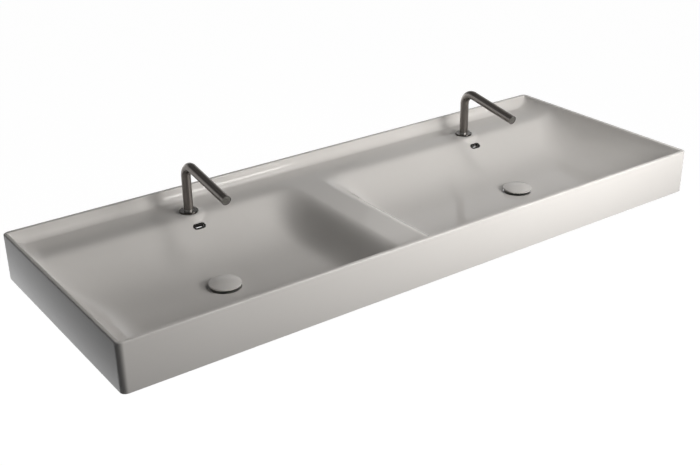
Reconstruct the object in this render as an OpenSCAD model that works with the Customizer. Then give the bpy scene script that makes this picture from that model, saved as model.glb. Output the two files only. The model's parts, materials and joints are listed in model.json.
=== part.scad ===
// Double trough washbasin: one ceramic casting with two bowls, hung on a wall,
// with two swivel spouts, two overflow rings and two press-to-close drains.
// Millimetres. X runs to the right, Y towards the wall and Z up.
// The origin lies on the wall plane, midway between the wall bolts.

/* [Basin] */
// Overall width
basin_w = 1400; // [1300:10:1600]
// Overall depth from the wall to the front face
basin_d = 525; // [500:5:600]
// Height of the outer walls
basin_h = 98; // [96:1:112]
// Height of the wall bolts above the underside
bolt_rise = 42; // [36:1:48]
// Thickness of the rim at the front and the sides
rim_w = 9; // [7:0.5:12]
// Thickness of the raised lip along the wall
lip_w = 10; // [8:0.5:13]
// Radius of the upright outer corners
corner_r = 12; // [6:1:20]
// Radius of the outer edge of the rim
edge_r = 2.5; // [1:0.5:4]
// Bevel on the inner edge of the rim
rim_bevel = 2; // [1:0.5:3]

/* [Bowls] */
// Depth of the tap ledge below the rim
ledge_drop = 26; // [20:1:32]
// Distance from the wall to the front edge of the ledge
ledge_run = 104; // [103:1:107]
// Depth of the bowl floors below the rim
floor_drop = 88; // [82:1:90]
// Length of the back slope from the ledge to the floor
slope_run = 205; // [190:5:230]
// Width of the level top of the divider
divider_w = 60; // [40:2:90]
// Shift of the divider from the middle of the basin, to the right if positive
divider_shift = -54; // [-66:2:30]
// Width of the curved flank on each side of the divider
flank_run = 100; // [80:5:120]
// Width of the curved foot of the side walls at full depth
side_run = 112; // [70:2:130]
// Width of the curved foot of the front wall at full depth
front_run = 104; // [60:2:110]
// Width of the curved foot of the lip
lip_run = 14; // [8:1:20]
// Rise of the bowl floors from the drains to their far ends
floor_fall = 4; // [0:0.5:6]

/* [Ceramic walls] */
// Thickness of the bowl walls
wall_t = 11; // [9:0.5:13]
// Thickness of the outer skirt below the bowls
skirt_w = 14; // [12:1:18]
// Thickness of the wall that the wall bolts pass through
back_w = 16; // [14:1:22]
// Thickness of the ledge at the taps
tap_seat_t = 14; // [12:0.5:15]

/* [Wall bolts] */
// Distance between the outer pair of wall bolts
bolt_outer = 1120; // [1000:10:1200]
// Distance between the inner pair of wall bolts
bolt_inner = 360; // [300:10:440]
// Diameter of the bolt holes
bolt_hole_d = 14; // [12:0.5:16]

/* [Overflow] */
// Distance from the wall to the overflow rings
overflow_back = 124; // [122:0.5:128]
// Width of the overflow ring
ring_w = 28; // [24:0.5:32]
// Height of the overflow ring
ring_h = 14; // [12:0.5:16]
// Width of the slot in the ring
slot_w = 20.5; // [16:0.5:21]
// Height of the slot in the ring
slot_h = 6.5; // [5:0.5:7]
// Bore of the overflow channel
channel_d = 13; // [10:0.5:14]

/* [Drains] */
// Distance between the two drains
bowl_spacing = 768; // [740:2:790]
// Distance from the wall to the drains
drain_back = 311; // [296:1:330]
// Diameter of the drain hole in the ceramic
drain_hole_d = 46; // [44:0.5:48]
// Diameter of the drain cover
cover_d = 64; // [58:0.5:70]
// Height of the dome of the cover
dome_h = 5; // [3:0.5:8]
// Gap between the floor and the edge of the open cover
cover_lift = 6; // [5:0.5:8]
// Diameter of the waste flange
flange_d = 64; // [62:0.5:68]
// Outer diameter of the waste thread
waste_d = 41.9; // [40:0.1:42.5]
// Inner diameter of the waste
waste_bore_d = 36; // [35:0.5:37]
// Length of the waste below the floor
waste_len = 75; // [70:1:90]
// Outer diameter of the tailpiece
tail_d = 32; // [31:0.5:33]
// Wall of the tailpiece
tail_wall = 1.5; // [1:0.1:2]
// Free length of the tailpiece
tail_len = 62; // [40:1:90]

/* [Taps] */
// Distance between the two taps
tap_spacing = 755; // [720:1:780]
// Shift of both taps to the right of the bowl centres
tap_shift = 43; // [36:1:50]
// Distance from the wall to the taps
tap_back = 81; // [78:0.5:82]
// Diameter of the tap hole in the ledge
tap_hole_d = 35; // [33:0.5:35.5]
// Diameter of the tap flange
tap_flange_d = 40; // [38:0.5:44]
// Outer diameter of the spout tube
tube_d = 20; // [19:0.1:22]
// Wall of the spout tube
tube_wall = 1.5; // [1.3:0.1:1.7]
// Height of the spout's centre line above the ledge
spout_h = 106; // [90:1:160]
// Distance from the tap's axis to the outlet
spout_reach = 166; // [140:1:200]
// Radius of the bend's centre line
bend_r = 28; // [20:1:35]
// Angle of the spout below the horizontal
spout_fall = 10; // [4:1:20]
// Length of the outlet collar
outlet_len = 11; // [9:0.5:14]
// Outer diameter of the shank's thread
shank_d = 16.66; // [16:0.02:17]
// Length of the shank below the ledge, with its plain inlet end
shank_len = 60; // [56:1:66]
// Outer diameter of the plain inlet end
inlet_d = 15; // [14:0.5:15.5]
// Length of the plain inlet end
inlet_len = 16; // [12:1:20]

/* [Hidden] */
left = -1;
right = 1;
$fn = 64;

// Overrun of every cut past the face that it opens
over = 4;
// Gap between two loose pieces, and between pieces of different bodies
gap = 0.3;
// Radial clearance of a running fit
run_gap = 0.05;
// Radial clearance of a screwed fit, whose threads are left plain
screw_gap = 0.1;

// Heights in the part's frame
base_z = -bolt_rise;
rim_z = basin_h - bolt_rise;
ledge_z = rim_z - ledge_drop;
floor_z = rim_z - floor_drop;

// Inside of the rim
inner_half = basin_w / 2 - rim_w;
inner_front = basin_d - rim_w;
lip_foot = lip_w + lip_run;
// Depth of the upright step under the rim's bevel
rim_step = 2;
// Softness of the ledge's front edge
crease_soft = 12;
// Least width of a wall's curved foot, where the wall is low
foot_min = 12;
// Step over which a slope is measured
probe = 1;

// Cells of the inside surface and of the hollow underneath
bowl_cells = 22;
front_cells = 18;
hollow_bowl_cells = 14;
hollow_front_cells = 12;
lip_shares = [0, 0.06, 0.3, 0.65];
ledge_shares = [0, 0.5, 0.8, 0.93];

// Drain boss and overflow chamber, measured down from the bowl floor
boss_r = 46;
boss_top = 5;
boss_drop = 34;
boss_bevel = 3;
chamber_r = 32;
chamber_top = 13;
chamber_drop = 27;
channel_wall = 6;
channel_start = 2;
channel_end = 20;
channel_top = 9;
channel_back = 6;
channel_step = 1;
ring_cut = 14;

// Waste
gasket_t = 1.2;
flange_t = 2.5;
recess_drop = gasket_t + flange_t;
waste_mouth_r = 21;
mouth_drop = 5;
window_w = 18;
window_h = 11;
window_drop = 20;
spider_top = 32;
spider_t = 6;
spider_arm = 3;
hub_r = 8;
washer_r = 30;
washer_t = 6;
nose_h = 3;
friction_t = 1.5;
friction_r = 28.5;
locknut_t = 9;
locknut_r = 25;
lug_reach = 29;
lug_w = 9;
tail_seal_t = 1.2;
tail_collar_h = 11;
tail_shoulder_t = 3;

// Cover and press mechanism
cover_edge = 3;
carrier_t = 2;
carrier_play = 0.4;
carrier_rim = 4;
seal_t = 1.2;
seal_w = 4;
socket_r = 5.5;
socket_h = 5;
plunger_r = 3.5;
plunger_low = 20;
plunger_head_t = 1.6;
sleeve_r = 5;
sleeve_top = 6;
sleeve_floor = 1;
sleeve_collar_r = 7.5;
sleeve_collar_t = 2;
spring_wire_r = 0.45;
spring_r = 2.6;
spring_turns = 6;
spring_steps = 10;
spring_sides = 6;

// Overflow ring
ring_sink = 0.8;
ring_proud = 0.8;
ring_barrel = 8;
ring_barrel_w = slot_w + 2;
ring_barrel_h = slot_h + 2;

// Tap, measured up from the ledge
tap_gasket_t = 1;
tap_gasket_in = 12;
tap_gasket_margin = 1;
tap_flange_t = 3;
tap_flange_edge = 1;
collar_t = 3;
collar_r = tube_d / 2 - gap;
spigot_h = 34;
seal_groove_w = 2;
seal_groove_depth = 1.7;
seal_ring_r = 0.8;
seal_low = 8;
seal_high = 26;
tube_in_r = tube_d / 2 - tube_wall;
bend_swell = 0.1;
pipe_past = 0.5;
bend_step = 0.5;
bend_lap = 4;
neck_groove = 1;
neck_len = 6;
neck_wall = 0.7;
aerator_sink = 1;
aerator_hole_r = 0.7;
aerator_rings = 2;
aerator_spokes = 6;
aerator_pitch = 2.6;
water_r = 5;
bush_in_play = 0.3;
bush_sink = 0.5;
bush_h = 11;
washer_play = 0.5;
under_washer_r = 22;
under_washer_t = 2.5;
backing_t = 2;
tap_nut_t = 8;
tap_nut_r = 13.9;
tap_pad_r = 22;
tap_pad_foot = 6;
nut_room_r = 26;

// Places
function drain_x(side) = side * bowl_spacing / 2;
function tap_x(side) = tap_shift + side * tap_spacing / 2;

// A value that follows u above zero and fades softly to nothing below it
function soft(u, k) = (u + sqrt(u * u + k * k)) / 2;

// Share of its full depth that a wall's curved foot has reached
function foot_share(s, run) = s <= 0 ? 0 : s >= run ? 1 : sqrt(1 - pow(1 - s / run, 2));

// Width of a wall's foot where the surface below it lies d deep
function foot_run(d, full_run) = foot_min + (full_run - foot_min) * d / floor_drop;

// Share of the back slope passed, b behind the wall plane
function slope_share(b) = min(1, soft(b - ledge_run, crease_soft) / slope_run);

function far_share(x, b) = pow((abs(x) - bowl_spacing / 2) / (inner_half / 2), 2)
    + pow(max(0, b - drain_back) / (inner_front - drain_back), 2);

function bowl_depth(x, b) = ledge_drop - floor_fall * min(1, far_share(x, b)) * slope_share(b)
    + (floor_drop - ledge_drop) * (1 - pow(1 - slope_share(b), 3));

// Share of the bowl's depth that the divider's flank has reached, u from its level top
function flank_share(u) = 1 - pow(1 - pow(min(1, max(0, u / flank_run)), 2), 3);

function open_depth(x, b) = ledge_drop + (bowl_depth(x, b) - ledge_drop)
    * flank_share(abs(x - divider_shift) - divider_w / 2);

// Depth of the inside surface below the rim
function depth(x, b) =
    let (d = open_depth(x, b))
    rim_step + (d - rim_step)
        * foot_share(inner_half - abs(x), foot_run(d, side_run))
        * foot_share(inner_front - b, foot_run(d, front_run))
        * foot_share(b - lip_w, lip_run);

function slope_x(x, b) = (depth(x + probe, b) - depth(x - probe, b)) / (2 * probe);
function slope_b(x, b) = (depth(x, b + probe) - depth(x, b - probe)) / (2 * probe);

// Height of the inside surface, and of the hollow's roof one wall below it
function inside_z(x, b) = rim_z - depth(x, b);
function hollow_z(x, b) = max(base_z - over,
    inside_z(x, b) - wall_t * sqrt(1 + pow(slope_x(x, b), 2) + pow(slope_b(x, b), 2)));

// Stations across the basin, closer together where the surface bends
function eased(n) = [for (i = [0:n]) (1 - cos(180 * i / n)) / 2];
function run_between(a, b, n) = [for (s = eased(n)) a + s * (b - a)];
function cross_stations(half, n) = concat(
    run_between(-half, divider_shift - divider_w / 2, n), [divider_shift],
    run_between(divider_shift + divider_w / 2, half, n));
function ledge_stations() = [for (s = ledge_shares) lip_foot + s * (ledge_run - lip_foot)];
function front_stations(front, n) = run_between(ledge_run, front, n);

// Closed solid between a surface over stations and a flat lid.
// The lid is wider than the surface by flare on every side.
module surface_solid(xs, bs, z, lid_z, flare) {
    nx = len(xs) - 1;
    nb = len(bs) - 1;
    rows = nb + 1;
    function outward(k, last) = k == 0 ? -1 : k == last ? 1 : 0;
    border = concat(
        [for (i = [0:nx - 1]) [i, 0]], [for (j = [0:nb - 1]) [nx, j]],
        [for (i = [nx:-1:1]) [i, nb]], [for (j = [nb:-1:1]) [0, j]]);
    n = len(border);
    lid = (nx + 1) * rows;
    hub = lid + n;
    points = concat(
        [for (i = [0:nx]) for (j = [0:nb]) [xs[i], -bs[j], z[i][j]]],
        [for (p = border)
            [xs[p[0]] + flare * outward(p[0], nx), -bs[p[1]] - flare * outward(p[1], nb), lid_z]],
        [[(xs[0] + xs[nx]) / 2, -(bs[0] + bs[nb]) / 2, lid_z]]);
    skin = [for (i = [0:nx - 1]) for (j = [0:nb - 1])
        let (a = i * rows + j, b = a + rows)
        each [[a, a + 1, b + 1], [a, b + 1, b]]];
    sides = [for (k = [0:n - 1])
        let (m = (k + 1) % n,
             a = border[k][0] * rows + border[k][1],
             b = border[m][0] * rows + border[m][1])
        each [[a, b, lid + m], [a, lid + m, lid + k], [hub, lid + k, lid + m]]];
    faces = concat(skin, sides);
    up = lid_z > z[0][0];
    polyhedron(points, up ? faces : [for (f = faces) [f[2], f[1], f[0]]]);
}

// Everything above the inside surface
module bowl_room() {
    xs = cross_stations(inner_half, bowl_cells);
    bs = concat([for (s = lip_shares) lip_w + s * lip_run], ledge_stations(),
        front_stations(inner_front, front_cells));
    z = [for (x = xs) [for (b = bs) inside_z(x, b)]];
    surface_solid(xs, bs, z, rim_z + over, rim_bevel + over);
}

// Everything under the hollow's roof
module hollow_room() {
    xs = cross_stations(basin_w / 2 - skirt_w, hollow_bowl_cells);
    bs = concat([back_w], ledge_stations(),
        front_stations(basin_d - skirt_w, hollow_front_cells));
    z = [for (x = xs) [for (b = bs) hollow_z(x, b)]];
    surface_solid(xs, bs, z, base_z - 2 * over, 0);
}

// Outline of the outer walls from one side, with its top corners rounded
module walls_outline(w) {
    translate([0, base_z]) square([w, basin_h - edge_r]);
    translate([edge_r, base_z]) square([w - 2 * edge_r, basin_h]);
    for (x = [edge_r, w - edge_r]) translate([x, rim_z - edge_r]) circle(edge_r);
}

// Outline of the basin from above, with rounded corners
module plan_outline() {
    for (x = [corner_r, basin_w - corner_r]) {
        for (y = [corner_r, basin_d - corner_r]) translate([x, y]) circle(corner_r);
    }
    translate([corner_r, 0]) square([basin_w - 2 * corner_r, basin_d]);
    translate([0, corner_r]) square([basin_w, basin_d - 2 * corner_r]);
}

module outer_block() {
    intersection() {
        translate([-basin_w / 2, -basin_d, base_z]) linear_extrude(basin_h) plan_outline();
        translate([-basin_w / 2, 0, 0]) rotate([90, 0, 0])
            linear_extrude(basin_d) walls_outline(basin_w);
        translate([-basin_w / 2, -basin_d, 0]) rotate([90, 0, 90])
            linear_extrude(basin_w) walls_outline(basin_d);
    }
}

// Round bar from point p to point q
module bar(p, q, r) {
    v = q - p;
    length = norm(v);
    translate(p) rotate([0, acos(v[2] / length), atan2(v[1], v[0])]) cylinder(h = length, r = r);
}

// Oval with round ends, w wide and h high
module oval(w, h) {
    for (x = [-1, 1]) translate([x * (w - h) / 2, 0]) circle(h / 2);
    square([w - h, h], center = true);
}

// Foot of the overflow's upright channel, and its end in the drain's chamber
function channel_foot(side) = [tap_x(side), -overflow_back + channel_back, floor_z - channel_start];
function channel_mouth(side) = [drain_x(side), -drain_back, floor_z - channel_end];
function channel_head(side) = [tap_x(side), -overflow_back + channel_back,
    inside_z(tap_x(side), overflow_back) - channel_top];

// The upright channel is a little wider than the sloping one that it meets
module channel(side, r, top_rise) {
    foot = channel_foot(side);
    bar(foot - [0, 0, r], channel_head(side) + [0, 0, top_rise], r + channel_step);
    bar(foot, channel_mouth(side), r);
}

module basin_side(side) {
    at_drain(side) {
        translate([0, 0, -boss_drop + boss_bevel])
            cylinder(h = boss_drop - boss_top - boss_bevel, r = boss_r);
        translate([0, 0, -boss_drop])
            cylinder(h = boss_bevel, r1 = boss_r - boss_bevel, r2 = boss_r);
    }
    channel(side, channel_d / 2 + channel_wall, -channel_wall);
    at_tap(side) translate([0, 0, -tap_seat_t])
        cylinder(h = tap_seat_t, r1 = nut_room_r + tap_pad_foot, r2 = tap_pad_r);
}

module basin_side_cuts(side) {
    at_drain(side) {
        translate([0, 0, -recess_drop])
            cylinder(h = recess_drop + over, r = flange_d / 2 + gap);
        translate([0, 0, -boss_drop - over])
            cylinder(h = boss_drop + over, d = drain_hole_d);
        translate([0, 0, -chamber_drop])
            cylinder(h = chamber_drop - chamber_top, r = chamber_r);
    }
    channel(side, channel_d / 2, 0);
    at_overflow(side) {
        translate([0, 0, -ring_sink]) linear_extrude(ring_sink + over)
            oval(ring_w + 2 * gap, ring_h + 2 * gap);
        translate([0, 0, -ring_cut]) linear_extrude(ring_cut)
            oval(ring_barrel_w + 2 * gap, ring_barrel_h + 2 * gap);
    }
    at_tap(side) {
        translate([0, 0, -tap_seat_t - over])
            cylinder(h = tap_seat_t + 2 * over, d = tap_hole_d);
        translate([0, 0, base_z - over - ledge_z])
            cylinder(h = ledge_z - tap_seat_t - base_z + over, r = nut_room_r);
    }
}

module basin() {
    color("whitesmoke") difference() {
        union() {
            difference() {
                outer_block();
                bowl_room();
                hollow_room();
            }
            basin_side(left);
            basin_side(right);
        }
        basin_side_cuts(left);
        basin_side_cuts(right);
        for (x = [-bolt_outer, -bolt_inner, bolt_inner, bolt_outer] / 2) {
            translate([x, over, 0]) rotate([90, 0, 0])
                cylinder(h = back_w + 2 * over, d = bolt_hole_d);
        }
    }
}

// Frames of the pieces: bowl floor at a drain, ledge at a tap, slope at an overflow
module at_drain(side) {
    translate([drain_x(side), -drain_back, floor_z]) children();
}

module at_tap(side) {
    translate([tap_x(side), -tap_back, ledge_z]) children();
}

module at_overflow(side) {
    x = tap_x(side);
    translate([x, -overflow_back, inside_z(x, overflow_back)])
        rotate([atan(slope_b(x, overflow_back)), 0, 0]) children();
}

module tube(low, high, outer, inner) {
    translate([0, 0, low]) difference() {
        cylinder(h = high - low, r = outer);
        translate([0, 0, -over]) cylinder(h = high - low + 2 * over, r = inner);
    }
}

module overflow_ring() {
    color("silver") difference() {
        union() {
            translate([0, 0, -ring_sink]) linear_extrude(ring_sink + ring_proud)
                oval(ring_w, ring_h);
            translate([0, 0, -ring_barrel]) linear_extrude(ring_barrel)
                oval(ring_barrel_w, ring_barrel_h);
        }
        translate([0, 0, -ring_barrel - over]) linear_extrude(ring_barrel + 2 * over)
            oval(slot_w, slot_h);
    }
}

carrier_r = cover_d / 2 - carrier_rim;
carrier_z = cover_lift + carrier_play;
dome_r = (pow(cover_d / 2, 2) + pow(dome_h, 2)) / (2 * dome_h);

module drain_cover() {
    color("whitesmoke") difference() {
        translate([0, 0, cover_lift]) union() {
            cylinder(h = cover_edge, d = cover_d);
            intersection() {
                translate([0, 0, cover_edge]) cylinder(h = dome_h + over, d = cover_d);
                translate([0, 0, cover_edge + dome_h - dome_r]) sphere(dome_r, $fn = 128);
            }
        }
        translate([0, 0, cover_lift - over])
            cylinder(h = over + carrier_play + carrier_t, r = carrier_r + gap);
    }
}

module cover_carrier() {
    color("dimgray") difference() {
        union() {
            translate([0, 0, carrier_z]) cylinder(h = carrier_t, r = carrier_r);
            translate([0, 0, carrier_z - socket_h]) cylinder(h = socket_h, r = socket_r);
        }
        translate([0, 0, carrier_z - socket_h - over])
            cylinder(h = socket_h + over, r = plunger_r + run_gap);
    }
}

module cover_seal() {
    color("black") tube(carrier_z - seal_t, carrier_z, carrier_r - gap, carrier_r - gap - seal_w);
}

module plunger() {
    color("gainsboro") union() {
        translate([0, 0, -plunger_low]) cylinder(h = plunger_low + carrier_z, r = plunger_r);
        translate([0, 0, carrier_z - socket_h - plunger_head_t])
            cylinder(h = plunger_head_t, r = socket_r);
    }
}

sleeve_low = spider_top + spider_t;

module click_sleeve() {
    color("silver") difference() {
        union() {
            translate([0, 0, -sleeve_low]) cylinder(h = sleeve_low - sleeve_top, r = sleeve_r);
            translate([0, 0, -spider_top]) cylinder(h = sleeve_collar_t, r = sleeve_collar_r);
        }
        translate([0, 0, -sleeve_low + sleeve_floor]) cylinder(h = sleeve_low, r = plunger_r + run_gap);
    }
}

// Helical spring from the sleeve's floor to the plunger
module click_spring() {
    low = -sleeve_low + sleeve_floor + gap + spring_wire_r;
    rise = sleeve_low - sleeve_floor - plunger_low - 2 * gap - 2 * spring_wire_r;
    n = spring_turns * spring_steps;
    points = [for (i = [0:n]) for (k = [0:spring_sides - 1])
        let (turn = 360 * i / spring_steps,
             round = 360 * k / spring_sides,
             r = spring_r + spring_wire_r * cos(round))
        [r * cos(turn), r * sin(turn), low + rise * i / n + spring_wire_r * sin(round)]];
    walls = [for (i = [0:n - 1]) for (k = [0:spring_sides - 1])
        let (a = i * spring_sides + k,
             b = i * spring_sides + (k + 1) % spring_sides)
        each [[a, b, b + spring_sides], [a, b + spring_sides, a + spring_sides]]];
    ends = [
        [for (k = [spring_sides - 1:-1:0]) k],
        [for (k = [0:spring_sides - 1]) n * spring_sides + k]];
    color("silver") polyhedron(points, concat(walls, ends));
}

module waste_body() {
    color("silver") difference() {
        union() {
            translate([0, 0, -flange_t]) cylinder(h = flange_t, d = flange_d);
            translate([0, 0, -waste_len]) cylinder(h = waste_len, d = waste_d);
        }
        difference() {
            translate([0, 0, -waste_len - over])
                cylinder(h = waste_len + 2 * over, d = waste_bore_d);
            translate([0, 0, -spider_top - spider_t]) {
                cylinder(h = spider_t, r = hub_r);
                for (turn = [0:120:240]) rotate(turn)
                    translate([0, -spider_arm / 2, 0])
                    cube([waste_bore_d / 2 + over, spider_arm, spider_t]);
            }
        }
        translate([0, 0, -mouth_drop])
            cylinder(h = mouth_drop, r1 = waste_bore_d / 2, r2 = waste_mouth_r);
        translate([0, 0, -sleeve_low - over])
            cylinder(h = spider_t + 2 * over, r = sleeve_r + screw_gap);
        for (turn = [45:90:315]) rotate(turn)
            translate([hub_r, -window_w / 2, -window_drop - window_h / 2])
                cube([waste_d, window_w, window_h]);
    }
}

module flange_gasket() {
    color("white")
        tube(-recess_drop, -flange_t, flange_d / 2 - gap, drain_hole_d / 2 + gap);
}

// Rubber washer with a nose that centres it in the drain hole
module lower_washer() {
    color("black") difference() {
        union() {
            translate([0, 0, -boss_drop - washer_t])
                cylinder(h = washer_t, r1 = friction_r, r2 = washer_r);
            translate([0, 0, -boss_drop])
                cylinder(h = nose_h, r = drain_hole_d / 2 - gap);
        }
        translate([0, 0, -boss_drop - washer_t - over])
            cylinder(h = washer_t + nose_h + 2 * over, r = waste_d / 2 + screw_gap);
    }
}

friction_low = boss_drop + washer_t + friction_t;

module friction_ring() {
    color("white") tube(-friction_low, -boss_drop - washer_t, friction_r, waste_d / 2 + screw_gap);
}

module locknut() {
    low = -friction_low - locknut_t;
    color("dimgray") difference() {
        translate([0, 0, low]) {
            cylinder(h = locknut_t, r = locknut_r);
            for (turn = [0:90:270]) rotate(turn) translate([0, -lug_w / 2, 0])
                cube([lug_reach, lug_w, locknut_t]);
        }
        translate([0, 0, low - over])
            cylinder(h = locknut_t + 2 * over, r = waste_d / 2 + screw_gap);
    }
}

module tail_seal() {
    color("black") tube(-waste_len - tail_seal_t, -waste_len, waste_d / 2 - gap, waste_bore_d / 2);
}

module tailpiece() {
    low = -waste_len - tail_seal_t;
    color("silver") difference() {
        union() {
            translate([0, 0, low])
                cylinder(h = tail_seal_t + tail_collar_h, r = waste_bore_d / 2 - screw_gap);
            translate([0, 0, low - tail_shoulder_t]) cylinder(h = tail_shoulder_t, d = waste_d);
            translate([0, 0, low - tail_len]) cylinder(h = tail_len, d = tail_d);
        }
        translate([0, 0, low - tail_len - over])
            cylinder(h = tail_len + tail_seal_t + tail_collar_h + 2 * over, r = tail_d / 2 - tail_wall);
    }
}

// Levels of the tap above the ledge
tap_flange_low = tap_gasket_t;
collar_low = tap_gasket_t + tap_flange_t;
spigot_low = collar_low + collar_t;
tube_low = spigot_low + gap;

module tap_gasket() {
    color("black") tube(0, tap_gasket_t, tap_flange_d / 2 - tap_gasket_margin, tap_gasket_in);
}

module tap_flange() {
    flange_r = tap_flange_d / 2;
    color("gray") difference() {
        translate([0, 0, tap_flange_low]) {
            cylinder(h = tap_flange_t - tap_flange_edge, r = flange_r);
            translate([0, 0, tap_flange_t - tap_flange_edge])
                cylinder(h = tap_flange_edge, r1 = flange_r, r2 = flange_r - tap_flange_edge);
        }
        translate([0, 0, -over])
            cylinder(h = collar_low + 2 * over, r = shank_d / 2 + bush_in_play);
    }
}

// Collar, swivel spigot with two grooves, and threaded shank
module tap_body() {
    color("silver") difference() {
        union() {
            translate([0, 0, -shank_len]) cylinder(h = inlet_len, d = inlet_d);
            translate([0, 0, inlet_len - shank_len])
                cylinder(h = shank_len - inlet_len + collar_low, d = shank_d);
            translate([0, 0, collar_low]) cylinder(h = collar_t, r = collar_r);
            translate([0, 0, spigot_low]) cylinder(h = spigot_h, r = tube_in_r - run_gap);
        }
        for (h = [seal_low, seal_high]) translate([0, 0, spigot_low + h]) difference() {
            cylinder(h = seal_groove_w, r = tube_d);
            translate([0, 0, -over])
                cylinder(h = seal_groove_w + 2 * over, r = tube_in_r - run_gap - seal_groove_depth);
        }
        translate([0, 0, -shank_len - over])
            cylinder(h = shank_len + spigot_low + spigot_h + 2 * over, r = water_r);
    }
}

module swivel_seals() {
    color("black") for (h = [seal_low, seal_high])
        translate([0, 0, spigot_low + h + seal_groove_w / 2]) rotate_extrude()
            translate([tube_in_r - run_gap - seal_ring_r, 0]) circle(seal_ring_r, $fn = 24);
}

// Frame at the spout's tip, with Z along the stream
bend_z = spout_h - bend_r;
arm_len = (spout_reach - bend_r - bend_r * sin(spout_fall)) / cos(spout_fall);

module at_tip(back) {
    translate([0, -bend_r, bend_z]) rotate([90 + spout_fall, 0, 0])
        translate([0, bend_r, arm_len - back]) children();
}

// Upright leg of the spout from low, its bend, and its arm to back short of the tip.
// The straight parts can reach past their ends into the bend.
module leg(r, low, past) {
    translate([0, 0, low]) cylinder(h = bend_z - low + past, r = r);
}

module bend(r, lap) {
    translate([0, -bend_r, bend_z]) rotate([90, -lap, 90])
        rotate_extrude(angle = 90 + spout_fall + 2 * lap) translate([bend_r, 0]) circle(r);
}

module arm(r, back, past) {
    at_tip(arm_len + past) cylinder(h = arm_len + past - back, r = r);
}

arm_end = outlet_len + neck_groove;
nipple_r = tube_in_r + neck_wall;

// Bent tube, a hair thicker round the bend, where its bore is a little narrower
module spout() {
    color("gray") difference() {
        union() {
            leg(tube_d / 2, tube_low, pipe_past);
            bend(tube_d / 2 + bend_swell, 0);
            arm(tube_d / 2, arm_end, pipe_past);
            at_tip(arm_end + over) cylinder(h = neck_groove + neck_len + over, r = nipple_r);
        }
        leg(tube_in_r, tube_low - over, 0);
        bend(tube_in_r - bend_step, bend_lap);
        arm(tube_in_r, -over, 0);
    }
}

module outlet_collar() {
    color("gray") at_tip(outlet_len) difference() {
        cylinder(h = outlet_len, d = tube_d);
        translate([0, 0, -over]) cylinder(h = outlet_len + 2 * over, r = nipple_r + screw_gap);
    }
}

// Perforated insert that breaks up the stream, in front of the spout's nipple
module aerator() {
    length = outlet_len - neck_len - gap - aerator_sink;
    color("dimgray") at_tip(aerator_sink + length) difference() {
        cylinder(h = length, r = nipple_r - gap);
        for (ring = [1:aerator_rings]) for (k = [1:aerator_spokes * ring])
            rotate(360 * k / (aerator_spokes * ring)) translate([ring * aerator_pitch, 0, -over])
                cylinder(h = length + 2 * over, r = aerator_hole_r, $fn = 16);
    }
}

module centring_bush() {
    color("white")
        tube(-bush_sink - bush_h, -bush_sink, tap_hole_d / 2 - gap, shank_d / 2 + bush_in_play);
}

backing_z = -tap_seat_t - under_washer_t - backing_t;

module under_washer() {
    color("black")
        tube(backing_z + backing_t, -tap_seat_t, under_washer_r, shank_d / 2 + washer_play);
}

module backing_washer() {
    color("silver")
        tube(backing_z, backing_z + backing_t, under_washer_r, shank_d / 2 + washer_play);
}

module tap_nut() {
    color("goldenrod") translate([0, 0, backing_z - tap_nut_t]) difference() {
        cylinder(h = tap_nut_t, r = tap_nut_r, $fn = 6);
        translate([0, 0, -over]) cylinder(h = tap_nut_t + 2 * over, r = shank_d / 2 + screw_gap);
    }
}

basin();
at_overflow(left) overflow_ring();  // left_overflow_ring
at_overflow(right) overflow_ring();  // right_overflow_ring
at_drain(left) drain_cover();  // left_drain_cover
at_drain(right) drain_cover();  // right_drain_cover
at_drain(left) cover_carrier();  // left_cover_carrier
at_drain(right) cover_carrier();  // right_cover_carrier
at_drain(left) cover_seal();  // left_cover_seal
at_drain(right) cover_seal();  // right_cover_seal
at_drain(left) plunger();  // left_plunger
at_drain(right) plunger();  // right_plunger
at_drain(left) click_sleeve();  // left_click_sleeve
at_drain(right) click_sleeve();  // right_click_sleeve
at_drain(left) click_spring();  // left_click_spring
at_drain(right) click_spring();  // right_click_spring
at_drain(left) waste_body();  // left_waste_body
at_drain(right) waste_body();  // right_waste_body
at_drain(left) flange_gasket();  // left_flange_gasket
at_drain(right) flange_gasket();  // right_flange_gasket
at_drain(left) lower_washer();  // left_lower_washer
at_drain(right) lower_washer();  // right_lower_washer
at_drain(left) friction_ring();  // left_friction_ring
at_drain(right) friction_ring();  // right_friction_ring
at_drain(left) locknut();  // left_locknut
at_drain(right) locknut();  // right_locknut
at_drain(left) tail_seal();  // left_tail_seal
at_drain(right) tail_seal();  // right_tail_seal
at_drain(left) tailpiece();  // left_tailpiece
at_drain(right) tailpiece();  // right_tailpiece
at_tap(left) tap_flange();  // left_tap_flange
at_tap(right) tap_flange();  // right_tap_flange
at_tap(left) tap_body();  // left_tap_body
at_tap(right) tap_body();  // right_tap_body
at_tap(left) swivel_seals();  // left_swivel_seals
at_tap(right) swivel_seals();  // right_swivel_seals
at_tap(left) spout();  // left_spout
at_tap(right) spout();  // right_spout
at_tap(left) outlet_collar();  // left_outlet_collar
at_tap(right) outlet_collar();  // right_outlet_collar
at_tap(left) aerator();  // left_aerator
at_tap(right) aerator();  // right_aerator
at_tap(left) tap_gasket();  // left_tap_gasket
at_tap(right) tap_gasket();  // right_tap_gasket
at_tap(left) centring_bush();  // left_centring_bush
at_tap(right) centring_bush();  // right_centring_bush
at_tap(left) under_washer();  // left_under_washer
at_tap(right) under_washer();  // right_under_washer
at_tap(left) backing_washer();  // left_backing_washer
at_tap(right) backing_washer();  // right_backing_washer
at_tap(left) tap_nut();  // left_tap_nut
at_tap(right) tap_nut();  // right_tap_nut
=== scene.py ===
import math

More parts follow.
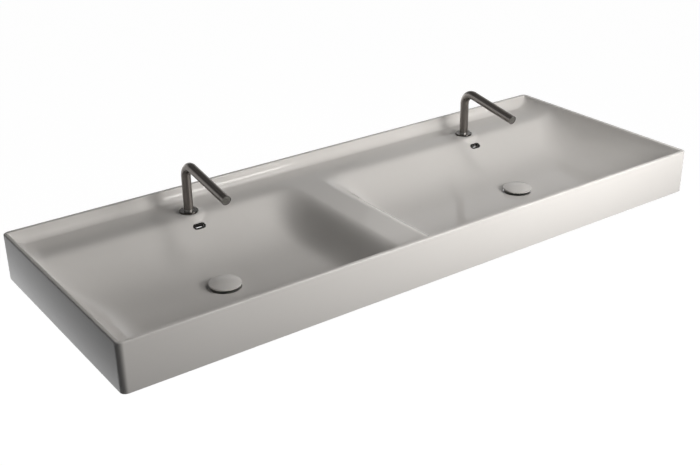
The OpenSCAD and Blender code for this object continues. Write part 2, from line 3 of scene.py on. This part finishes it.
import bpy
import numpy as np
from mathutils import Matrix, Vector
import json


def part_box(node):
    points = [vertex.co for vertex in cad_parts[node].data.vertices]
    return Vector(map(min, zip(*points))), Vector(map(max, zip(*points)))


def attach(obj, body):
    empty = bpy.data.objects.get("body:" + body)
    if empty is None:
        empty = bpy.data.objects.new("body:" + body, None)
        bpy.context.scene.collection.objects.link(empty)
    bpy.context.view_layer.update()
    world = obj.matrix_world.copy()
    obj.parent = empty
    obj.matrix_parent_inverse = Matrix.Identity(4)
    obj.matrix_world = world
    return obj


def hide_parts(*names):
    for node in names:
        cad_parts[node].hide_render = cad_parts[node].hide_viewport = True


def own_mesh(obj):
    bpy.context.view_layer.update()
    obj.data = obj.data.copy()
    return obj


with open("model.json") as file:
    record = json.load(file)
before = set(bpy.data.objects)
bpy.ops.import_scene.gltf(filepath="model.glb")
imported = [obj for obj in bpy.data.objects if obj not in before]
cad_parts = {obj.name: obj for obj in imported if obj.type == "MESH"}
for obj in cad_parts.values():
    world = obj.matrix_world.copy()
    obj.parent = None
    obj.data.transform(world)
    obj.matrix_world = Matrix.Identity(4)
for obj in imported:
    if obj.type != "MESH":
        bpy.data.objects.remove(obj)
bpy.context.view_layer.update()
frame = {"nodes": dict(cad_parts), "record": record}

# Camera
cam_data = bpy.data.cameras.new("camera")
cam_data.sensor_width = 36.0
cam_data.lens = 56.08
cam_data.clip_start = 0.05
cam_data.clip_end = 100
cam = bpy.data.objects.new("camera", cam_data)
bpy.context.scene.collection.objects.link(cam)
cam_right = Vector((0.81116, -0.58466, -0.01366))
cam_up = Vector((0.26030, 0.34004, 0.90367))
cam_back = cam_right.cross(cam_up).normalized()
cam_up = cam_back.cross(cam_right).normalized()
cam_right.normalize()
cam.matrix_world = Matrix((
    (cam_right.x, cam_up.x, cam_back.x, -1.26195),
    (cam_right.y, cam_up.y, cam_back.y, -1.96250),
    (cam_right.z, cam_up.z, cam_back.z, 0.95563),
    (0, 0, 0, 1)))
bpy.context.scene.camera = cam

# The basin's outside, millimetres
basin_w = 1400.0
basin_d = 525.0
basin_h = 98.0
bolt_rise = 42.0
rim_w = 9.0
lip_w = 10.0
corner_r = 12.0
edge_r = 2.5
rim_bevel = 2.0
rim_step = 2.0
foot_bevel = ((1.2, 0.0), (0.35, 0.35), (0.0, 1.2))

# Its inside surface, millimetres
ledge_drop = 26.0
ledge_run = 104.0
floor_drop = 88.0
floor_fall = 4.0
slope_run = 205.0
crease_soft = 12.0
divider_w = 60.0
divider_shift = -54.0
flank_run = 100.0
side_run = 112.0
front_run = 104.0
lip_run = 14.0
foot_min = 12.0

# Its walls and bolt holes, millimetres
wall_t = 11.0
skirt_w = 14.0
back_w = 16.0
hollow_tuck = 5.0
bolt_outer = 1120.0
bolt_inner = 360.0
bolt_hole_d = 14.0

# Drains and their bosses, millimetres
bowl_spacing = 768.0
drain_back = 311.0
drain_hole_d = 46.0
flange_d = 64.0
recess_drop = 3.7
boss_r = 46.0
boss_top = 5.0
boss_drop = 34.0
boss_bevel = 3.0
chamber_r = 32.0
chamber_top = 13.0
chamber_drop = 27.0

# Overflows and their channels, millimetres
overflow_back = 124.0
ring_w = 28.0
ring_h = 14.0
ring_sink = 0.8
ring_cut = 14.0
slot_w = 20.5
slot_h = 6.5
slot_room = 2.0
channel_d = 13.0
channel_wall = 6.0
channel_start = 2.0
channel_end = 20.0
channel_top = 9.0
channel_back = 6.0
channel_step = 1.0

# Tap seats, millimetres
tap_spacing = 755.0
tap_shift = 43.0
tap_back = 81.0
tap_hole_d = 35.0
tap_seat_t = 14.0
tap_pad_r = 22.0
tap_pad_foot = 6.0
tap_pad_inset = 1.0
tap_pad_blend = 14.0
tap_seat_sink = 0.02
nut_room_r = 26.0

# Click springs, millimetres
spring_r = 2.6
spring_wire_r = 0.45
spring_turns = 6

# Clearances, and how far a cutting solid passes the face it cuts, millimetres
gap = 0.3
past_face = 4.0
past_slope = 6.0
past_ring = 1.0

# Mesh steps, millimetres or parts of a curve
flat_step = 4.0
flank_step = 2.2
crease_step = 1.6
slope_step = 3.6
crease_from = 84.0
crease_to = 124.0
lip_step = 2.0
lip_parts = 12
foot_parts = 30
edge_parts = 8
bevel_parts = 7
# Edges that turn further than this stay sharp, degrees
basin_sharp_deg = 32
node_sharp_deg = 30

base_z = -bolt_rise
rim_z = basin_h - bolt_rise
ledge_z = rim_z - ledge_drop
floor_z = rim_z - floor_drop
inner_half = basin_w / 2 - rim_w
inner_front = basin_d - rim_w
SIDES = {"left": -1, "right": 1}


def drain_x(s):
    return s * bowl_spacing / 2


def tap_x(s):
    return tap_shift + s * tap_spacing / 2


# The inside surface: x across the basin, b = distance from the wall
def soft(u, k):
    """Nought below u = 0 and u above it, rounded over about k."""
    return (u + np.sqrt(u * u + k * k)) / 2


def foot_share(s, run):
    """From 0 at a wall to 1 at the end of its curved foot, as on a quarter circle."""
    t = np.clip(s / run, 0, 1)
    return np.sqrt(np.maximum(0, 1 - (1 - t) ** 2))


def foot_run(d, full):
    """The run of a wall's curved foot, which grows with the depth."""
    return foot_min + (full - foot_min) * d / floor_drop


def slope_share(b):
    """How far along the back slope b lies, from 0 at the ledge to 1 past the slope."""
    return np.minimum(1, soft(b - ledge_run, crease_soft) / slope_run)


def flank_share(u):
    """How far down the divider's flank, u from its top, the surface has come."""
    t = np.clip(u / flank_run, 0, 1)
    return 1 - (1 - t * t) ** 3


def depth(x, b):
    """How far the inside surface lies under the rim."""
    ax = np.abs(x)
    s = slope_share(b)
    past_drain = np.maximum(0, b - drain_back) / (inner_front - drain_back)
    far = ((ax - bowl_spacing / 2) / (inner_half / 2)) ** 2 + past_drain ** 2
    bowl = ledge_drop - floor_fall * np.minimum(1, far) * s
    bowl = bowl + (floor_drop - ledge_drop) * (1 - (1 - s) ** 3)
    from_divider = np.abs(x - divider_shift) - divider_w / 2
    d = ledge_drop + (bowl - ledge_drop) * flank_share(from_divider)
    at_side = foot_share(inner_half - ax, foot_run(d, side_run))
    at_front = foot_share(inner_front - b, foot_run(d, front_run))
    at_lip = foot_share(b - lip_w, lip_run)
    return rim_step + (d - rim_step) * at_side * at_front * at_lip


def inside_z(x, b):
    return rim_z - depth(x, b)


def smooth_step(t):
    t = np.clip(t, 0, 1)
    return t * t * (3 - 2 * t)


def shown_z(x, b):
    """The inside surface with the ledge drawn level round each tap."""
    z = inside_z(x, b)
    for s in SIDES.values():
        r = np.hypot(x - tap_x(s), b - tap_back)
        w = 1 - smooth_step((r - tap_pad_r + tap_pad_inset) / tap_pad_blend)
        z = z + w * (ledge_z - z)
    return z


def slope_b(x, b):
    """Slope away from the wall, over 2 mm."""
    return (depth(x, b + 1.0) - depth(x, b - 1.0)) / 2


def slope_x(x, b):
    """Slope across the basin, over 2 mm."""
    return (depth(x + 1.0, b) - depth(x - 1.0, b)) / 2


def hollow_z(x, b):
    """The underside, one wall thickness away square to the inside surface."""
    drop = wall_t * np.sqrt(1 + slope_x(x, b) ** 2 + slope_b(x, b) ** 2)
    return np.maximum(base_z - past_face, inside_z(x, b) - drop)


# Mesh helpers, millimetres in, metres out
def mesh_object(name, verts, faces):
    me = bpy.data.meshes.new(name)
    me.from_pydata([(x / 1000, y / 1000, z / 1000) for x, y, z in verts], [], faces)
    me.validate()
    me.update()
    o = bpy.data.objects.new(name, me)
    bpy.context.scene.collection.objects.link(o)
    return o


def shade_smooth(mesh, sharp_deg=None):
    mesh.polygons.foreach_set("use_smooth", [True] * len(mesh.polygons))
    if sharp_deg:
        mesh.set_sharp_from_angle(angle=math.radians(sharp_deg))


def room(name, xs, bs, z, lid_z, flare):
    """Closed solid from the surface z over the stations to a lid, through flare's (outward, z) rings."""
    nx = len(xs)
    nb = len(bs)
    verts = [(xs[i], -bs[j], z[i][j]) for i in range(nx) for j in range(nb)]
    edge = [i * nb for i in range(nx)]
    edge += [(nx - 1) * nb + j for j in range(1, nb)]
    edge += [i * nb + nb - 1 for i in range(nx - 2, -1, -1)]
    edge += list(range(nb - 2, 0, -1))
    starts = [i * nb + j for i in range(nx - 1) for j in range(nb - 1)]
    faces = [(k, k + 1, k + nb + 1, k + nb) for k in starts]
    ring = edge
    for out, level in flare:
        new = []
        for e in edge:
            x, y = verts[e][:2]
            i, j = divmod(e, nb)
            x += out * ((i == nx - 1) - (i == 0))
            y += out * ((j == 0) - (j == nb - 1))
            new.append(len(verts))
            verts.append((x, y, level))
        n = len(ring)
        faces += [(ring[k], ring[(k + 1) % n], new[(k + 1) % n], new[k]) for k in range(n)]
        ring = new
    faces.append(tuple(ring))
    if lid_z > z[0][0]:
        faces = [tuple(reversed(f)) for f in faces]
    return mesh_object(name, verts, faces)


def stack(name, rings):
    """Closed solid through rings of equal length, from the bottom up, each counter-clockwise."""
    n = len(rings[0])
    verts = [p for r in rings for p in r]
    faces = [tuple(reversed(range(n)))]
    for k in range(len(rings) - 1):
        for i in range(n):
            a = k * n + i
            b = k * n + (i + 1) % n
            faces.append((a, b, b + n, a + n))
    faces.append(tuple(range((len(rings) - 1) * n, len(rings) * n)))
    return mesh_object(name, verts, faces)


def circle_angles(n):
    return [2 * math.pi * i / n for i in range(n)]


def turned(name, centre, profile, n=96):
    """Solid of revolution about an upright axis, profile from the bottom up as (radius, z)."""
    cx, cy, cz = centre
    rings = []
    for r, z in profile:
        rings.append([(cx + r * math.cos(a), cy + r * math.sin(a), cz + z) for a in circle_angles(n)])
    return stack(name, rings)


def upright(name, centre, r, low, high):
    return turned(name, centre, [(r, low), (r, high)])


def bar(name, p, q, r, n=48):
    """Round bar of radius r from p to q."""
    w = (Vector(q) - Vector(p)).normalized()
    u = w.orthogonal().normalized()
    v = w.cross(u)
    rings = []
    for c in (Vector(p), Vector(q)):
        rings.append([tuple(c + (u * math.cos(a) + v * math.sin(a)) * r) for a in circle_angles(n)])
    return stack(name, rings)


def oval_prism(name, at, tilt, w, h, z0, z1, n=24):
    """Oval with round ends, w by h, from z0 to z1 along the axis tilted by tilt about X."""
    ends = ((1, -math.pi / 2, math.pi / 2), (-1, math.pi / 2, 3 * math.pi / 2))
    pts = []
    for end, first, last in ends:
        for a in np.linspace(first, last, n):
            pts.append((end * (w - h) / 2 + h / 2 * math.cos(a), h / 2 * math.sin(a)))
    turn = Matrix.Rotation(tilt, 3, "X")
    rings = [[tuple(Vector(at) + turn @ Vector((x, y, z))) for x, y in pts] for z in (z0, z1)]
    return stack(name, rings)


def coil(name, centre, low, high, steps=28, sides=12):
    """Helical wire that fills the height from low to high."""
    rings = []
    n = spring_turns * steps
    rise = high - low - 2 * spring_wire_r
    for i in range(n + 1):
        turn = 2 * math.pi * i / steps
        ring = []
        for a in circle_angles(sides):
            r = spring_r + spring_wire_r * math.cos(a)
            z = low + spring_wire_r + rise * i / n - spring_wire_r * math.sin(a)
            ring.append((centre[0] + r * math.cos(turn), centre[1] + r * math.sin(turn), z))
        rings.append(ring)
    return stack(name, rings)


def combine(target, tools, how):
    """Applies booleans to the target in one go and removes the tools."""
    for t in tools:
        m = target.modifiers.new("cut", "BOOLEAN")
        m.operation = how
        m.object = t
        m.solver = "MANIFOLD"
    dg = bpy.context.evaluated_depsgraph_get()
    me = bpy.data.meshes.new_from_object(target.evaluated_get(dg))
    target.modifiers.clear()
    old = target.data
    target.data = me
    bpy.data.meshes.remove(old)
    for t in tools:
        bpy.data.meshes.remove(t.data)
    return target


# The basin
def quarter(run, n):
    """Stations over run, closest together at its start, as on a quarter circle."""
    return [run * (1 - math.cos(math.pi / 2 * i / n)) for i in range(n + 1)]


def spaced(a, b, step):
    """Even stations from a to b without b."""
    n = max(1, round((b - a) / step))
    return [a + (b - a) * i / n for i in range(n)]


def cross_stations(half, run, fine):
    """Stations across the basin, fine being a factor on the steps."""
    top = divider_w / 2
    foot = divider_w / 2 + flank_run
    divider = spaced(-foot, -top, flank_step * fine)
    divider += spaced(-top, top, flat_step * fine)
    divider += spaced(top, foot, flank_step * fine)
    ends = quarter(run, int(foot_parts / fine))
    out = [-half + s for s in ends][:-1]
    out += spaced(run - half, divider_shift - foot, flat_step * fine)
    out += [divider_shift + v for v in divider]
    out += spaced(divider_shift + foot, half - run, flat_step * fine)
    return out + [half - s for s in reversed(ends)]


def depth_stations(back, lip, front, run, fine):
    """Stations from the wall to the front."""
    out = [back + s for s in quarter(lip, int(lip_parts / fine))][:-1] if lip else [back]
    out += spaced(out[-1] + lip_step, crease_from, flat_step * fine)
    out += spaced(crease_from, crease_to, crease_step * fine)
    out += spaced(crease_to, front - run, slope_step * fine)
    return out + [front - s for s in reversed(quarter(run, int(foot_parts / fine)))]


def rounded_plan(inset, z, n=14):
    """The basin's outline with round corners, inset from its walls."""
    r = corner_r - inset
    w = basin_w / 2 - inset - r
    d = basin_d / 2 - inset - r
    pts = []
    for k, (sx, sy) in enumerate(((1, -1), (1, 1), (-1, 1), (-1, -1))):
        for i in range(n + 1):
            a = math.pi / 2 * (k - 1 + i / n)
            pts.append((sx * w + r * math.cos(a), -basin_d / 2 + sy * d + r * math.sin(a), z))
    return pts


def outer_block():
    """The basin's outside with its foot bevelled and its rim rounded."""
    rings = [rounded_plan(inset, base_z + rise) for inset, rise in foot_bevel]
    for i in range(edge_parts + 1):
        a = math.pi / 2 * i / edge_parts
        inset = edge_r * (1 - math.cos(a))
        rings.append(rounded_plan(inset, rim_z - edge_r + edge_r * math.sin(a)))
    return stack("basin_glazed", rings)


def bowl_room():
    """The room over the inside surface, flared at the rim."""
    xs = cross_stations(inner_half, side_run, 1.0)
    bs = depth_stations(lip_w, lip_run, inner_front, front_run, 1.0)
    x, b = np.meshgrid(xs, bs, indexing="ij")
    flare = []
    for i in range(1, bevel_parts + 1):
        a = math.pi / 2 * i / bevel_parts
        flare.append((rim_bevel * (1 - math.cos(a)), rim_z - rim_step + rim_step * math.sin(a)))
    flare.append((rim_bevel, rim_z + past_face))
    return room("bowl_room", xs, bs, shown_z(x, b), rim_z + past_face, flare)


def hollow_room():
    """The hollow under the inside surface, open below."""
    xs = cross_stations(basin_w / 2 - skirt_w, side_run - hollow_tuck, 2.0)
    bs = depth_stations(back_w, 0, basin_d - skirt_w, front_run - hollow_tuck, 2.0)
    x, b = np.meshgrid(xs, bs, indexing="ij")
    low = base_z - 2 * past_face
    return room("hollow_room", xs, bs, hollow_z(x, b), low, [(0, low)])


def overflow_z(s):
    return float(inside_z(tap_x(s), overflow_back))


def channel_ends(s):
    """The overflow channel's bend, its mouth at the drain and its head behind the ring."""
    across = tap_x(s)
    back = -overflow_back + channel_back
    bend = Vector((across, back, floor_z - channel_start))
    mouth = Vector((drain_x(s), -drain_back, floor_z - channel_end))
    head = Vector((across, back, overflow_z(s) - channel_top))
    return bend, mouth, head


def added_solids(s):
    """The drain's boss, the channel's walls and the tap's seat on one side."""
    bend, mouth, head = channel_ends(s)
    r = channel_d / 2 + channel_wall
    head_low = head - Vector((0, 0, channel_wall))
    boss = [(boss_r - boss_bevel, -boss_drop), (boss_r, -boss_drop + boss_bevel), (boss_r, -boss_top)]
    seat = [(nut_room_r + tap_pad_foot, -tap_seat_t), (tap_pad_r - tap_pad_inset, -tap_seat_sink)]
    return [
        turned("boss", (drain_x(s), -drain_back, floor_z), boss),
        bar("channel_a", bend - Vector((0, 0, r)), head_low, r + channel_step),
        bar("channel_b", bend, mouth, r),
        turned("tap_seat", (tap_x(s), -tap_back, ledge_z), seat),
    ]


def cut_solids(s):
    """The drain's recess and hole, the overflow's rooms and the tap's holes on one side."""
    drain = (drain_x(s), -drain_back, floor_z)
    tap = (tap_x(s), -tap_back, ledge_z)
    bend, mouth, head = channel_ends(s)
    r = channel_d / 2
    ring = (tap_x(s), -overflow_back, overflow_z(s))
    tilt = math.atan(float(slope_b(tap_x(s), overflow_back)))
    seat_w = ring_w + 2 * gap
    seat_h = ring_h + 2 * gap
    hole_w = slot_w + slot_room + 2 * gap
    hole_h = slot_h + slot_room + 2 * gap
    nut_top = ledge_z - tap_seat_t
    return [
        upright("recess", drain, flange_d / 2 + gap, -recess_drop, past_slope),
        upright("hole", drain, drain_hole_d / 2, -boss_drop - past_face, 0),
        upright("chamber", drain, chamber_r, -chamber_drop, -chamber_top),
        bar("channel_a", bend - Vector((0, 0, r)), head, r + channel_step),
        bar("channel_b", bend, mouth, r),
        oval_prism("ring_seat", ring, tilt, seat_w, seat_h, -ring_sink, past_slope),
        oval_prism("ring_hole", ring, tilt, hole_w, hole_h, -ring_cut, past_ring),
        upright("tap_hole", tap, tap_hole_d / 2, -tap_seat_t - past_face, past_face),
        upright("nut_room", (tap_x(s), -tap_back, 0), nut_room_r, base_z - past_face, nut_top),
    ]


def make_basin():
    block = outer_block()
    combine(block, [bowl_room(), hollow_room()], "DIFFERENCE")
    adds = []
    cuts = []
    for s in SIDES.values():
        adds += added_solids(s)
        cuts += cut_solids(s)
    for x in (-bolt_outer / 2, -bolt_inner / 2, bolt_inner / 2, bolt_outer / 2):
        cuts.append(bar("bolt", (x, past_face, 0), (x, -back_w - past_face, 0), bolt_hole_d / 2))
    combine(block, [combine(adds[0], adds[1:], "UNION")], "UNION")
    combine(block, [combine(cuts[0], cuts[1:], "UNION")], "DIFFERENCE")
    shade_smooth(block.data, basin_sharp_deg)
    return block


basin = make_basin()
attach(basin, "washbasin")
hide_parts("basin")

# The click springs ride the plugs
for side, s in SIDES.items():
    low, high = (corner[2] * 1000 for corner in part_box(side + "_click_spring"))
    spring = coil(side + "_click_coil", (drain_x(s), -drain_back), low, high)
    shade_smooth(spring.data)
    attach(spring, side + "_plug")
    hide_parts(side + "_click_spring")
    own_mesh(spring)


# Node helpers
def add(nt, kind, **settings):
    """A new node, with each setting given to its property or else to its input socket."""
    n = nt.nodes.new(kind)
    for k, v in settings.items():
        if hasattr(n, k):
            setattr(n, k, v)
        else:
            n.inputs[k.replace("_", " ")].default_value = v
    return n


def material(name, **values):
    m = bpy.data.materials.new(name)
    m.use_nodes = True
    b = m.node_tree.nodes["Principled BSDF"]
    for k, v in values.items():
        b.inputs[k.replace("_", " ")].default_value = v
    return m, m.node_tree, b


def object_coords(nt):
    return add(nt, "ShaderNodeTexCoord").outputs["Object"]


def noise(nt, coords, scale, detail, stretch=None):
    if stretch:
        mapping = add(nt, "ShaderNodeMapping", Scale=stretch)
        nt.links.new(coords, mapping.inputs["Vector"])
        coords = mapping.outputs["Vector"]
    n = add(nt, "ShaderNodeTexNoise", Scale=scale, Detail=detail)
    nt.links.new(coords, n.inputs["Vector"])
    return n.outputs["Fac"]


def ramp(nt, value, lo, hi, a, b):
    """a where value is lo, b where it is hi, and even between."""
    m = add(nt, "ShaderNodeMapRange", From_Min=lo, From_Max=hi, To_Min=a, To_Max=b)
    nt.links.new(value, m.inputs["Value"])
    return m.outputs["Result"]


def tint(nt, share, a, b):
    m = add(nt, "ShaderNodeMix", data_type="RGBA")
    m.inputs[6].default_value = (*a, 1)
    m.inputs[7].default_value = (*b, 1)
    nt.links.new(share, m.inputs[0])
    return m.outputs[2]


def bump(nt, bsdf, height, strength, distance):
    n = add(nt, "ShaderNodeBump", Strength=strength, Distance=distance)
    nt.links.new(height, n.inputs["Height"])
    nt.links.new(n.outputs["Normal"], bsdf.inputs["Normal"])


def shades(colour, dark, light):
    """The colour made darker and lighter by two factors."""
    return tuple(c * dark for c in colour), tuple(min(1, c * light) for c in colour)


# Materials
glaze_dark = (0.80, 0.78, 0.757)
glaze_light = (0.84, 0.824, 0.803)
turning_grain = (40, 40, 900)
# The tap tube's directions, and its bend in millimetres forward of its leg
leg_way = (0.0, 0.0, 1.0)
arm_way = (0.0, -0.997, -0.075)
bend_start = 2.0
bend_end = 22.0


def glaze(name):
    m, nt, b = material(name, IOR=1.30)
    co = object_coords(nt)
    cloud = noise(nt, co, scale=5.0, detail=4)
    nt.links.new(tint(nt, cloud, glaze_dark, glaze_light), b.inputs["Base Color"])
    gloss = noise(nt, co, scale=26.0, detail=3)
    nt.links.new(ramp(nt, gloss, 0.3, 0.7, 0.045, 0.075), b.inputs["Roughness"])
    bump(nt, b, noise(nt, co, scale=24.0, detail=1), strength=0.05, distance=0.0010)
    return m


def metal(name, colour, rough, grain, coat=0.0):
    m, nt, b = material(name, Metallic=1.0, Coat_Weight=coat, Coat_Roughness=0.07)
    fine = noise(nt, object_coords(nt), scale=3.0, detail=4, stretch=turning_grain)
    nt.links.new(tint(nt, fine, *shades(colour, 0.85, 1.12)), b.inputs["Base Color"])
    nt.links.new(ramp(nt, fine, 0.25, 0.75, rough * 0.8, rough * 1.25), b.inputs["Roughness"])
    bump(nt, b, fine, grain, distance=0.00006)
    return m


def brush_along_tube(m):
    """Stretches the tube's highlights along its leg and, past the bend, along its arm."""
    nt = m.node_tree
    b = nt.nodes["Principled BSDF"]
    b.inputs["Anisotropic"].default_value = 0.8
    place = add(nt, "ShaderNodeSeparateXYZ")
    nt.links.new(object_coords(nt), place.inputs[0])
    leg_y = -(tap_back + bend_start) / 1000
    arm_y = -(tap_back + bend_end) / 1000
    share = ramp(nt, place.outputs["Y"], leg_y, arm_y, 0.0, 1.0)
    along = add(nt, "ShaderNodeMix", data_type="VECTOR")
    along.inputs[4].default_value = leg_way
    along.inputs[5].default_value = arm_way
    nt.links.new(share, along.inputs[0])
    turn = add(nt, "ShaderNodeVectorTransform", vector_type="VECTOR",
               convert_from="OBJECT", convert_to="WORLD")
    nt.links.new(along.outputs[1], turn.inputs[0])
    nt.links.new(turn.outputs[0], b.inputs["Tangent"])
    return m


def plain(name, colour, rough):
    m, nt, b = material(name)
    grain = noise(nt, object_coords(nt), scale=160.0, detail=5)
    nt.links.new(tint(nt, grain, *shades(colour, 0.88, 1.12)), b.inputs["Base Color"])
    rough_high = min(1, rough * 1.15)
    nt.links.new(ramp(nt, grain, 0.3, 0.7, rough * 0.85, rough_high), b.inputs["Roughness"])
    bump(nt, b, grain, strength=0.15, distance=0.0002)
    return m


MATERIALS = {
    "basin_glaze": glaze("basin_glaze"),
    "cover_glaze": glaze("cover_glaze"),
    "spout_steel": brush_along_tube(metal("spout_steel", (0.180, 0.165, 0.153), 0.32, 0.03, 0.1)),
    "flange_steel": metal("flange_steel", (0.085, 0.078, 0.072), 0.20, 0.03, 0.1),
    "tap_core": metal("tap_core", (0.50, 0.49, 0.47), 0.30, 0.15),
    "ring_metal": metal("ring_metal", (0.22, 0.21, 0.20), 0.14, 0.03),
    "waste_metal": metal("waste_metal", (0.60, 0.60, 0.60), 0.14, 0.05),
    "spring_wire": metal("spring_wire", (0.50, 0.50, 0.50), 0.25, 0.05),
    "black_rubber": plain("black_rubber", (0.035, 0.035, 0.035), 0.75),
    "pale_rubber": plain("pale_rubber", (0.70, 0.685, 0.665), 0.55),
    "white_plastic": plain("white_plastic", (0.72, 0.72, 0.70), 0.5),
    "dark_plastic": plain("dark_plastic", (0.06, 0.06, 0.065), 0.45),
    "washer_steel": metal("washer_steel", (0.52, 0.52, 0.51), 0.35, 0.1),
    "nut_brass": metal("nut_brass", (0.62, 0.45, 0.22), 0.28, 0.08),
}
# Parts whose finish differs from their slot's, by name without the side
OWN_FINISH = {
    "cover_seal": "pale_rubber",
    "cover_carrier": "pale_rubber",
    "tap_flange": "flange_steel",
    "aerator": "tap_core",
}


def dress(obj, finish):
    obj.data.materials.clear()
    obj.data.materials.append(MATERIALS[finish])


slot_of = {p["node"]: p["material_slot"] for p in frame["record"]["subparts"]}
for node, obj in frame["nodes"].items():
    dress(obj, OWN_FINISH.get(node.partition("_")[2], slot_of[node]))
    shade_smooth(obj.data, node_sharp_deg)
dress(basin, "basin_glaze")
for side in SIDES:
    dress(bpy.data.objects[side + "_click_coil"], "spring_wire")


# Floor, its place in metres
floor_level = -0.86
floor_half = 30.0
floor_glow = 0.985
floor_pale = (0.12, 0.12, 0.12, 1)
floor_dark = (0.10, 0.10, 0.10, 1)
# World, its heights as the upright part of a ray's unit direction
world_light = 0.01
bright_up_to = 0.27
dim_from = 0.46
dim_strength = 0.12


def seen_by_rays(nt):
    """One for camera, glossy and transmission rays, nought for all others."""
    rays = add(nt, "ShaderNodeLightPath")
    a = add(nt, "ShaderNodeMath", operation="MAXIMUM")
    b = add(nt, "ShaderNodeMath", operation="MAXIMUM")
    nt.links.new(rays.outputs["Is Camera Ray"], a.inputs[0])
    nt.links.new(rays.outputs["Is Glossy Ray"], a.inputs[1])
    nt.links.new(a.outputs[0], b.inputs[0])
    nt.links.new(rays.outputs["Is Transmission Ray"], b.inputs[1])
    return b.outputs[0]


def split_by_rays(nt, output_kind, seen, unseen):
    """Gives the seen shader to the rays named above and the unseen one to all others."""
    out = add(nt, output_kind)
    mix = add(nt, "ShaderNodeMixShader")
    nt.links.new(seen_by_rays(nt), mix.inputs[0])
    nt.links.new(unseen.outputs[0], mix.inputs[1])
    nt.links.new(seen.outputs[0], mix.inputs[2])
    nt.links.new(mix.outputs[0], out.inputs["Surface"])


def make_floor():
    """A level floor, near white to the rays that see it and dark to the others."""
    me = bpy.data.meshes.new("floor")
    signs = ((-1, -1), (1, -1), (1, 1), (-1, 1))
    corners = [(x * floor_half, y * floor_half, floor_level) for x, y in signs]
    me.from_pydata(corners, [], [(0, 1, 2, 3)])
    floor = bpy.data.objects.new("floor", me)
    bpy.context.scene.collection.objects.link(floor)
    m = bpy.data.materials.new("floor")
    m.use_nodes = True
    nt = m.node_tree
    nt.nodes.clear()
    dark = add(nt, "ShaderNodeBsdfDiffuse", Color=floor_dark)
    pale = add(nt, "ShaderNodeBsdfDiffuse", Color=floor_pale)
    glow = add(nt, "ShaderNodeEmission", Strength=floor_glow)
    both = add(nt, "ShaderNodeAddShader")
    nt.links.new(pale.outputs[0], both.inputs[0])
    nt.links.new(glow.outputs[0], both.inputs[1])
    split_by_rays(nt, "ShaderNodeOutputMaterial", both, dark)
    me.materials.append(m)
    return floor


def make_world():
    """White up to a little above the horizon and dim overhead, with a faint light for the other rays."""
    world = bpy.data.worlds.new("world")
    bpy.context.scene.world = world
    world.use_nodes = True
    nt = world.node_tree
    nt.nodes.clear()
    light = add(nt, "ShaderNodeBackground", Color=(1.0, 0.99, 0.98, 1), Strength=world_light)
    back = add(nt, "ShaderNodeBackground", Color=(1, 1, 1, 1))
    height = add(nt, "ShaderNodeSeparateXYZ")
    nt.links.new(add(nt, "ShaderNodeTexCoord").outputs["Generated"], height.inputs[0])
    strength = ramp(nt, height.outputs["Z"], bright_up_to, dim_from, 1.0, dim_strength)
    nt.links.new(strength, back.inputs["Strength"])
    split_by_rays(nt, "ShaderNodeOutputWorld", back, light)


floor = make_floor()
make_world()

# Lamps: place, what it points at, width and height, in metres, and power in watts
lamp_colour = (1.0, 0.98, 0.955)
middle = (0.0, -0.26, 0.0)
LAMPS = {
    "key": ((1.377, -1.415, 2.768), middle, (0.8, 0.8), 15.5),
    "near": ((0.50, -1.40, 0.50), middle, (0.5, 0.5), 10.4),
    "front": ((0.0, -2.144, 1.319), middle, (0.9, 0.9), 7.0),
    "back_right": ((1.632, 0.682, 1.319), middle, (1.8, 1.4), 2.9),
    "back_left": ((-0.764, 0.504, 2.031), middle, (1.0, 1.0), 0.7),
    "back_fill": ((0.0, 1.8, 0.0), (0.0, 0.0, 0.0), (1.2, 0.6), 5.0),
    "low_right": ((2.3, -1.95, 0.10), (0.0, -0.26, 0.05), (0.7, 0.7), 9.0),
}
for name, (at, target, size, power) in LAMPS.items():
    lamp = bpy.data.lights.new(name, "AREA")
    lamp.shape = "RECTANGLE"
    lamp.size, lamp.size_y = size
    lamp.energy = power
    lamp.color = lamp_colour
    o = bpy.data.objects.new(name, lamp)
    bpy.context.scene.collection.objects.link(o)
    o.location = at
    o.rotation_mode = "QUATERNION"
    o.rotation_quaternion = (Vector(target) - Vector(at)).to_track_quat("-Z", "Y")

bpy.context.scene.view_settings.view_transform = "Standard"

bpy.context.view_layer.update()
